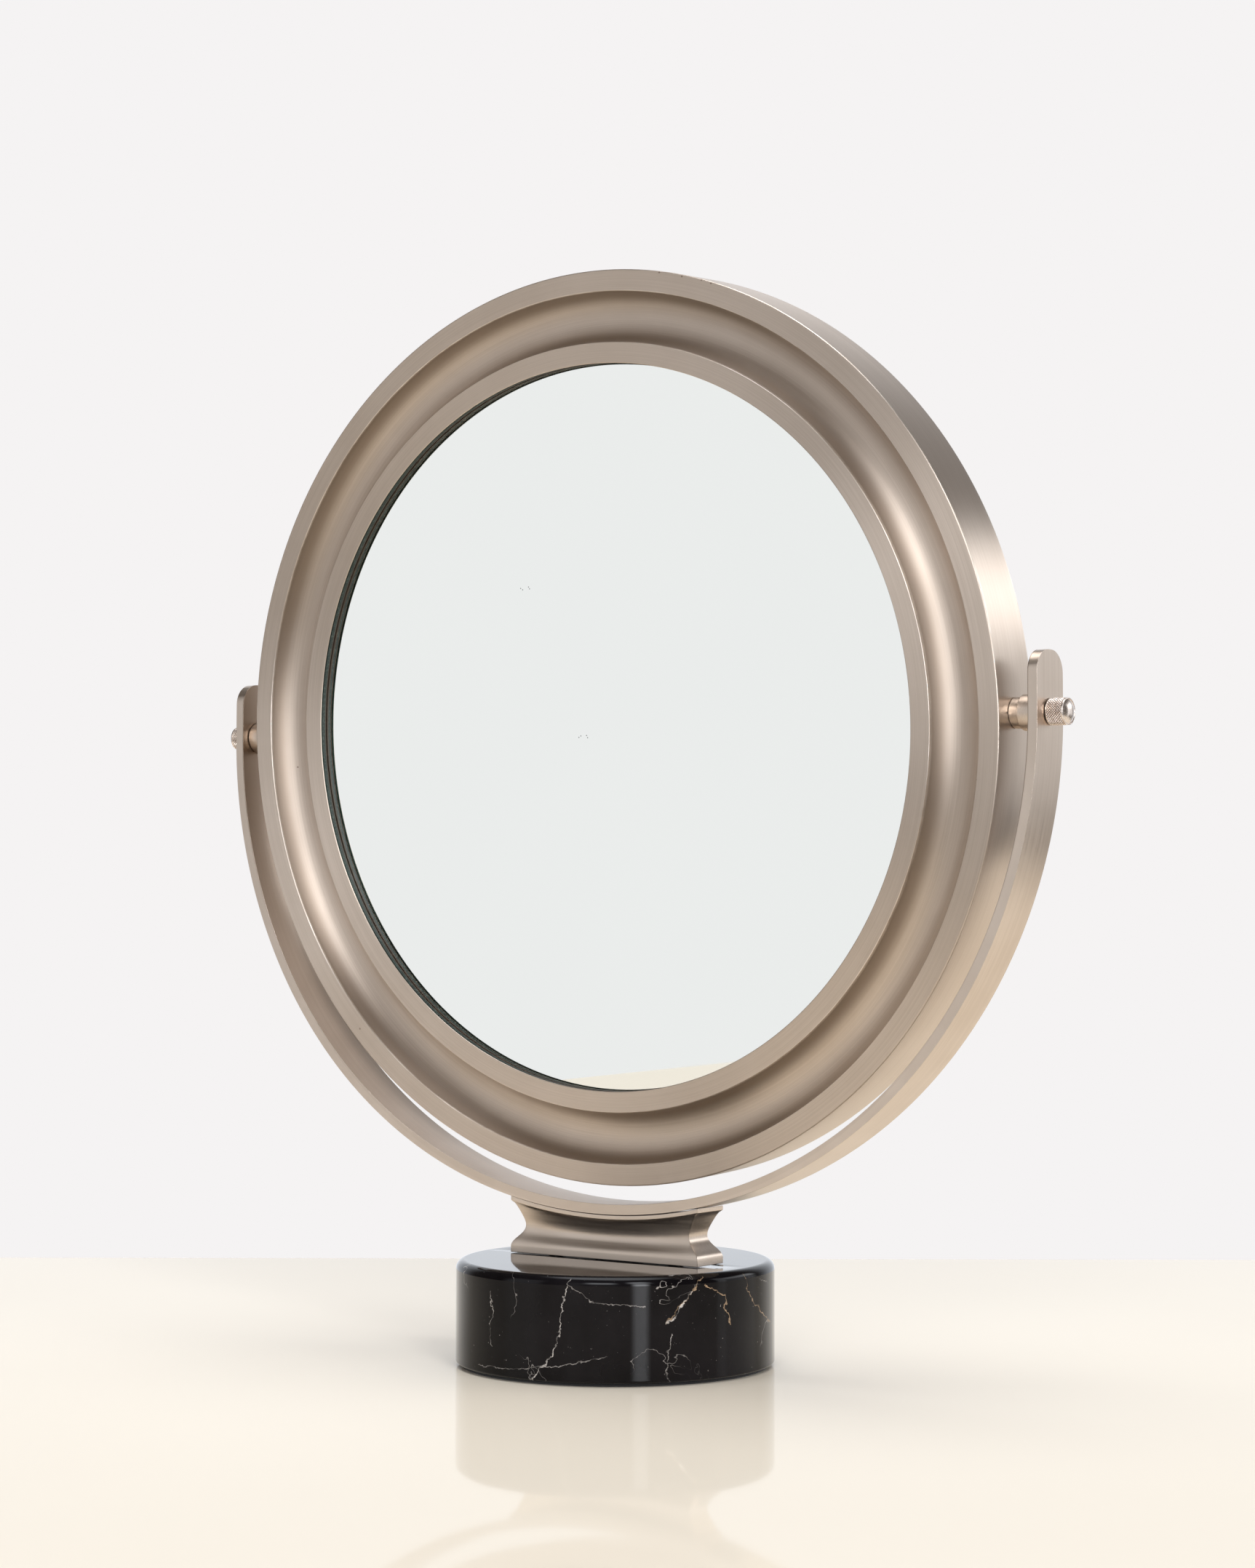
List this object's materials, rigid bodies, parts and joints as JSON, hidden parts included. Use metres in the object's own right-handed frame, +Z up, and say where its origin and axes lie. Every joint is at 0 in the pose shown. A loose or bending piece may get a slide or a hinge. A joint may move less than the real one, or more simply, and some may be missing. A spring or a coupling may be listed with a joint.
{
  "type": "swivelling table mirror",
  "caption": "Round two-faced mirror in a deep coved metal ring, tilting between the arms of a U-shaped yoke on a waisted pedestal and a round marble foot.",
  "frame": {"origin": "centre of the foot's underside, on the surface that the mirror stands on", "axes": "+Z up, -Y the way the front glass looks, X along the tilt axis through both thumb screws"},
  "size_m": [0.4198, 0.129, 0.4445],
  "materials": {
    "brushed_nickel": "satin nickel plate, brushed round the ring and along the bar, warm champagne tone",
    "polished_nickel": "brighter nickel, diamond knurl and a polished domed end",
    "plain_steel": "plain machined fixings, mostly hidden",
    "mirror_glass": "silvered glass with a faint green tint",
    "black_marble": "polished black marble with fine white and tan veins",
    "dark_gasket": "matt greenish black",
    "core_board": "plain hardboard, hidden",
    "foot_felt": "black felt"
  },
  "bodies": {
    "stand": {"marble_foot": "black_marble", "foot_pad": "foot_felt", "left_foot_washer": "plain_steel", "right_foot_washer": "plain_steel", "left_foot_bolt": "plain_steel", "right_foot_bolt": "plain_steel", "pedestal": "brushed_nickel", "yoke": "brushed_nickel", "left_yoke_screw": "plain_steel", "right_yoke_screw": "plain_steel"},
    "head": {"head_shell": "brushed_nickel", "rear_ring": "brushed_nickel", "front_glass": "mirror_glass", "rear_glass": "mirror_glass", "front_gasket": "dark_gasket", "rear_gasket": "dark_gasket", "core_board": "core_board", "left_pivot_bush": "brushed_nickel", "right_pivot_bush": "brushed_nickel", "left_lock_washer": "plain_steel", "right_lock_washer": "plain_steel", "left_pivot_nut": "plain_steel", "right_pivot_nut": "plain_steel", "ring_lug_1": "plain_steel", "ring_lug_2": "plain_steel", "ring_lug_3": "plain_steel", "ring_lug_4": "plain_steel", "ring_lug_5": "plain_steel", "ring_lug_6": "plain_steel", "ring_screw_1": "plain_steel", "ring_screw_2": "plain_steel", "ring_screw_3": "plain_steel", "ring_screw_4": "plain_steel", "ring_screw_5": "plain_steel", "ring_screw_6": "plain_steel"},
    "left_screw": {"left_thumb_screw": "polished_nickel"},
    "right_screw": {"right_thumb_screw": "polished_nickel"}
  },
  "joints": [
    {"name": "head_tilt", "type": "hinge", "parent": "stand", "child": "head", "pos_m": [0, 0, 0.2581], "axis": [1, 0, 0], "continuous": true},
    {"name": "left_screw_turn", "type": "hinge", "parent": "head", "child": "left_screw", "pos_m": [-0.2047, 0, 0.2581], "axis": [-1, 0, 0], "range_deg": [0, 540]},
    {"name": "right_screw_turn", "type": "hinge", "parent": "head", "child": "right_screw", "pos_m": [0.2047, 0, 0.2581], "axis": [1, 0, 0], "range_deg": [0, 540]}
  ]
}
